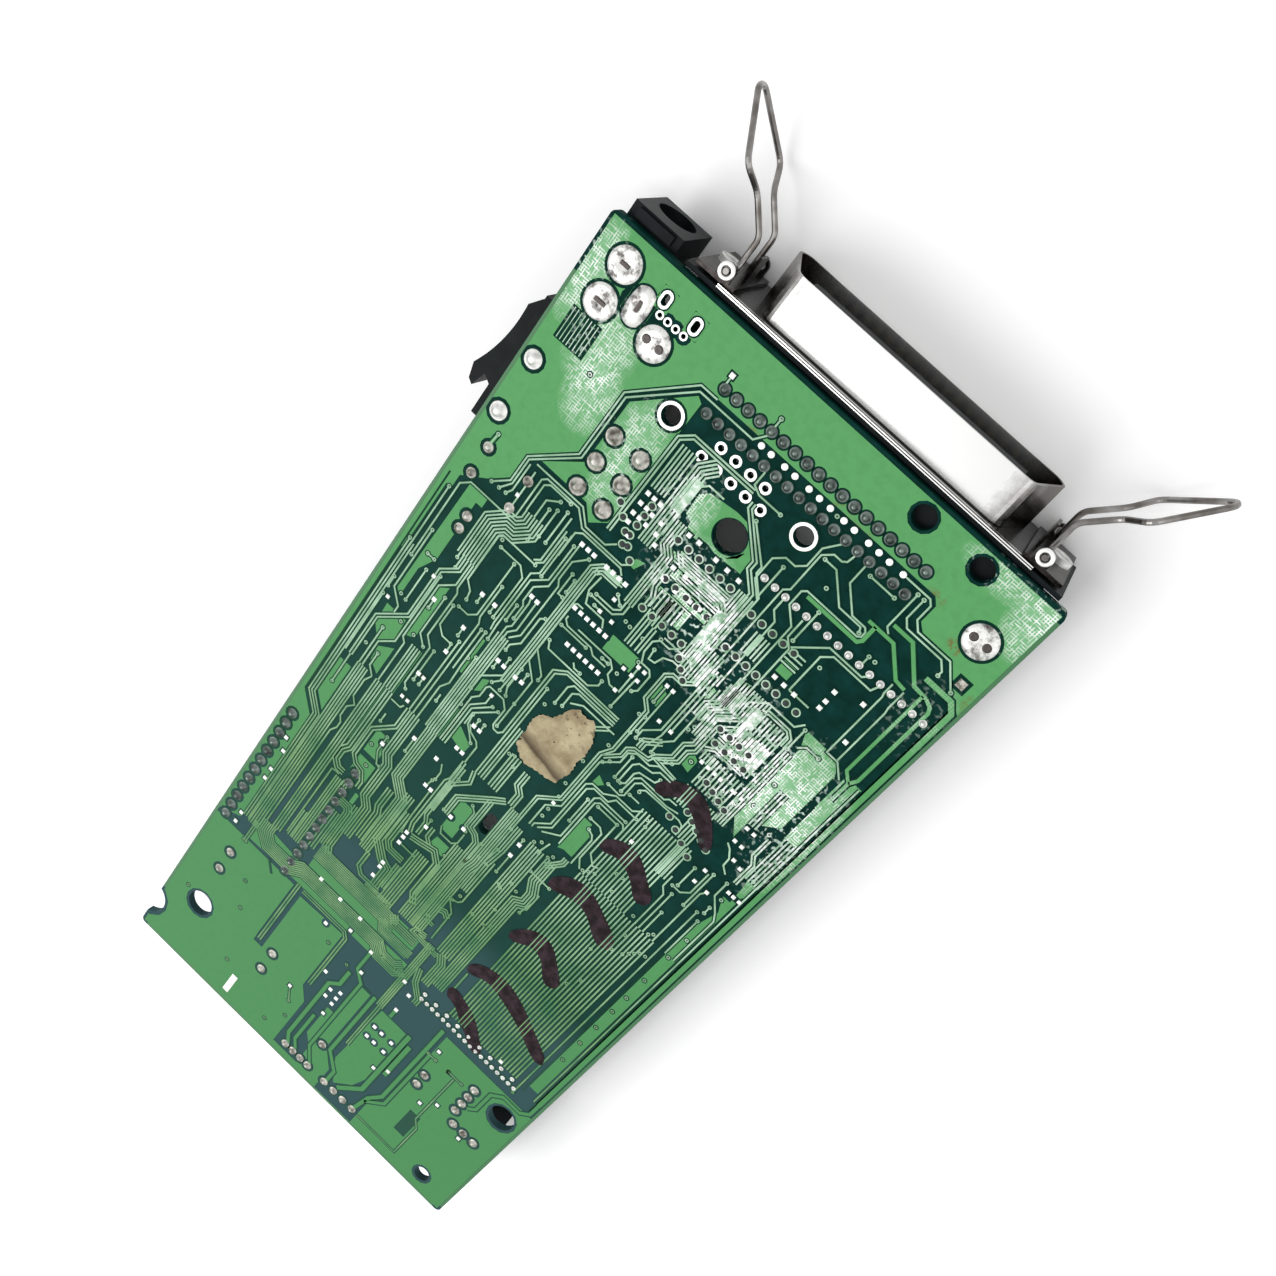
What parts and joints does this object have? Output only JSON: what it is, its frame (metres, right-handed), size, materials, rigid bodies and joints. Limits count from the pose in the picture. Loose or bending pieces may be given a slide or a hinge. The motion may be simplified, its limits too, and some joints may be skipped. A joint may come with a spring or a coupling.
{
  "type": "printer main board",
  "caption": "Green printer main board, solder side up, with a parallel port and wire bails, a power jack and a rocker switch on its edges.",
  "frame": {"origin": "middle of the centre fixing hole, at the solder face", "axes": "+Z out of the solder face, along the fixing holes; +Y from the connector edge to the rear edge, the long way of the board; +X towards the power jack"},
  "size_m": [0.0926, 0.1901, 0.018],
  "materials": {
    "laminate": "dark green laminate, satin",
    "coated_copper": "green lacquer over copper, satin",
    "coated_track": "pale green lacquer over a track, satin",
    "tin": "bright tinned metal",
    "solder": "dull grey solder",
    "steel": "plated sheet steel and wire",
    "contact": "gilded contact",
    "black_plastic": "black moulded plastic",
    "chip": "black moulded resin",
    "socket_grey": "dark grey moulded plastic",
    "pale_plastic": "off-white moulded plastic",
    "sleeve": "dark blue shrunk sleeve",
    "fuse_case": "ochre moulded case",
    "paper": "brown paper"
  },
  "bodies": {
    "main": {"board": "laminate", "ground_copper": "coated_copper", "track_copper": "coated_track", "empty_hole_lands": "tin", "test_lands": "tin", "jack_joints": "tin", "port_joints": "solder", "switch_joints": "tin", "choke_joints": "solder", "memory_joints": "solder", "header_joints": "tin", "head_socket_joints": "tin", "rear_joints": "tin", "port_insulator": "black_plastic", "port_shell": "steel", "port_contacts": "contact", "port_tails": "tin", "bail_bracket_right": "steel", "bail_bracket_left": "steel", "bail_screw_right": "tin", "bail_screw_left": "tin", "jack_body": "black_plastic", "jack_pin": "tin", "jack_spring": "tin", "jack_terminals": "tin", "switch_body": "black_plastic", "capacitor_corner": "sleeve", "capacitor_rear": "sleeve", "capacitor_small": "sleeve", "filter_choke": "socket_grey", "memory_socket": "socket_grey", "memory_chip": "chip", "option_header": "black_plastic", "option_pins": "tin", "head_socket": "pale_plastic", "sensor_socket": "pale_plastic", "motor_socket": "pale_plastic", "processor": "chip", "bus_chips": "chip", "driver_chip": "chip", "crystal": "steel", "regulator": "black_plastic", "fuse": "fuse_case", "input_diode": "black_plastic", "paper_scrap": "paper"},
    "bail_right": {"bail_right": "steel"},
    "bail_left": {"bail_left": "steel"},
    "switch_rocker": {"switch_rocker": "black_plastic"}
  },
  "joints": [
    {"name": "bail_right_swing", "type": "hinge", "parent": "main", "child": "bail_right", "pos_m": [0.0233, -0.0271, -0.0088], "axis": [0, 0, 1], "range_deg": [-44, 40]},
    {"name": "bail_left_swing", "type": "hinge", "parent": "main", "child": "bail_left", "pos_m": [-0.0331, -0.0271, -0.0088], "axis": [0, 0, 1], "range_deg": [-40, 44]},
    {"name": "power_rocker_tilt", "type": "hinge", "parent": "main", "child": "switch_rocker", "pos_m": [0.0388, 0.003, -0.0082], "axis": [0, 0, 1], "range_deg": [0, 20]}
  ]
}
